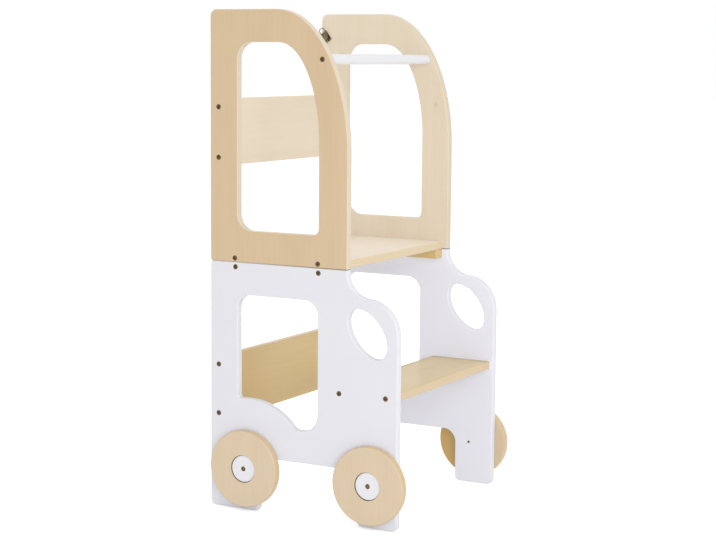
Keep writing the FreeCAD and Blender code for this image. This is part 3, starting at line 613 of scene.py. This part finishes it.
def makeMetal(slot, look):
    # antique plating: dark film with soft cloudy patches, rubbed bright along the edges
    material, tree, shader = newMaterial(slot)
    look = {**antiquePlate, **look}
    position = addNode(tree, "ShaderNodeTexCoord", (-1100, 0)).outputs["Object"]
    patch = noiseNode(tree, (-800, 200), position, look["patch"], look["patchDetail"], look["patchRoughness"])
    cloudy = rangeNode(tree, (-600, 200), patch, *look["patchRange"], 0.0, look["mottle"])
    worn = mathNode(tree, "ADD", (-450, 350), cloudy, rubbedEdgeMask(tree, look), clamp=True)
    touch = placeGroup(tree, handling, (-800, -200), {"Vector": position, "Smudge Size": look["smudgeSize"]})
    dull = look["roughness"] + look["duller"]
    grit = noiseNode(tree, (-800, -500), position, look["grit"])
    feedAll(tree, shader, {
        "Base Color": mixColor(tree, (-300, 250), worn, look["plate"], look["rubbed"]),
        "Metallic": look["metallic"],
        "Roughness": rangeNode(tree, (-300, 0), touch["Smudge"], 0, 1, look["roughness"], dull),
        "Normal": bumpNode(tree, (700, -300), grit, look),
    })
    return material


# painted light and shade: paler lit copies of the wood and paint on the right upper panel, the upper slat and
# the right base panel, and a deeper shaded copy on the lower slat
litAndShadedCopies = {
    "upper_panel_right": "rightPanelLitCopy", "upper_back_slat": "upperSlatLitCopy",
    "lower_back_slat": "lowerSlatShadedCopy", "lower_panel_right": "rightBaseLitCopy",
}

materials = {}
for looks, makeFinish in ((woods, makeWood), (paints, makePaint), (metals, makeMetal)):
    for slot, look in looks.items():
        materials[slot] = makeFinish(slot, look)

for part in frame["record"]["subparts"]:
    finish = litAndShadedCopies.get(part["node"], part["material_slot"])
    for holder in nodes[part["node"]].material_slots:
        holder.material = materials[finish]
print("finishes on", len(nodes), "parts")


def seenMask(tree, place):
    # 1 where the camera looks straight, in a reflection or through something clear
    x, y = place
    path = addNode(tree, "ShaderNodeLightPath", place).outputs
    seen = mathNode(tree, "MAXIMUM", (x + 200, y), path["Is Camera Ray"], path["Is Glossy Ray"])
    return mathNode(tree, "MAXIMUM", (x + 350, y), seen, path["Is Transmission Ray"])


floorLook = {"size": 60.0, "color": (0.90, 0.90, 0.90), "roughness": 0.9, "lift": 0.36}


def makeFloor():
    half = floorLook["size"] / 2
    corners = [(-half, -half, 0), (half, -half, 0), (half, half, 0), (-half, half, 0)]
    mesh = bpy.data.meshes.new("floor")
    mesh.from_pydata(corners, [], [(0, 1, 2, 3)])
    floor = bpy.data.objects.new("floor", mesh)
    bpy.context.scene.collection.objects.link(floor)
    material, tree, shader = newMaterial("paleFloor")
    seen = seenMask(tree, (-600, -300))
    feedAll(tree, shader, {
        "Base Color": floorLook["color"],
        "Roughness": floorLook["roughness"],
        "Emission Color": (1, 1, 1),
        "Emission Strength": mathNode(tree, "MULTIPLY", (-100, -300), seen, floorLook["lift"]),
    })
    mesh.materials.append(material)


makeFloor()

lamps = {
    "key": {
        "place": (-2.9, -2.7, 1.3), "aim": (0, 0, 0.45), "size": 2.4,
        "watts": 42, "color": (1.0, 0.99, 0.975),
    },
    "fill": {
        "place": (-1.3, -3.5, 1.9), "aim": (0, 0, 0.45), "size": 2.6,
        "watts": 24, "color": (0.985, 0.99, 1.0),
    },
    "rear": {
        "place": (1.9, 3.2, 2.0), "aim": (0, 0, 0.45), "size": 2.6,
        "watts": 40, "color": (1, 0.995, 0.985),
    },
    "top": {
        "place": (0.0, 0.4, 3.6), "aim": (0, 0, 0.4), "size": 2.4,
        "watts": 14, "color": (1, 1, 1),
    },
}
sky = {"onStool": 0.735, "inView": 1.0}


def makeLamps():
    for name, look in lamps.items():
        lamp = bpy.data.lights.new(name, "AREA")
        lamp.shape = "SQUARE"
        lamp.size = look["size"]
        lamp.energy = look["watts"]
        lamp.color = look["color"]
        holder = bpy.data.objects.new(name, lamp)
        holder.location = look["place"]
        aim = Vector(look["aim"]) - Vector(look["place"])
        holder.rotation_euler = aim.to_track_quat("-Z", "Y").to_euler()
        bpy.context.scene.collection.objects.link(holder)


def makeSky():
    world = bpy.data.worlds.new("studio")
    bpy.context.scene.world = world
    world.use_nodes = True
    tree = world.node_tree
    tree.nodes.clear()
    output = addNode(tree, "ShaderNodeOutputWorld", (400, 0))
    choose = addNode(tree, "ShaderNodeMixShader", (200, 0))
    feed(tree, seenMask(tree, (-600, 200)), choose.inputs[0])
    for i, strength in enumerate((sky["onStool"], sky["inView"])):
        white = addNode(tree, "ShaderNodeBackground", (-100, -150 * i))
        feedAll(tree, white, {"Color": (1, 1, 1), "Strength": strength})
        feed(tree, white.outputs[0], choose.inputs[i + 1])
    feed(tree, choose.outputs[0], output.inputs["Surface"])


makeLamps()
makeSky()

# yaw turns from +Y towards +X; angles in degrees, lens and sensor in millimetres
cameraLook = {
    "place": (-2.8255, -1.540415, 0.82364), "yaw": 61.261, "pitch": -7.059, "roll": 0.498,
    "lens": 87.81, "sensor": 36, "farthest": 60,
}


def makeCamera():
    yaw = math.radians(cameraLook["yaw"])
    pitch = math.radians(cameraLook["pitch"])
    aim = Vector((math.sin(yaw) * math.cos(pitch), math.cos(yaw) * math.cos(pitch), math.sin(pitch)))
    data = bpy.data.cameras.new("camera")
    data.sensor_width = cameraLook["sensor"]
    data.lens = cameraLook["lens"]
    data.clip_end = cameraLook["farthest"]
    holder = bpy.data.objects.new("camera", data)
    holder.location = cameraLook["place"]
    holder.rotation_euler = aim.to_track_quat("-Z", "Y").to_euler()
    holder.rotation_euler.rotate_axis("Z", math.radians(cameraLook["roll"]))
    bpy.context.scene.collection.objects.link(holder)
    bpy.context.scene.camera = holder


makeCamera()
bpy.context.scene.view_settings.view_transform = "Standard"
print("floor, lights and camera set")
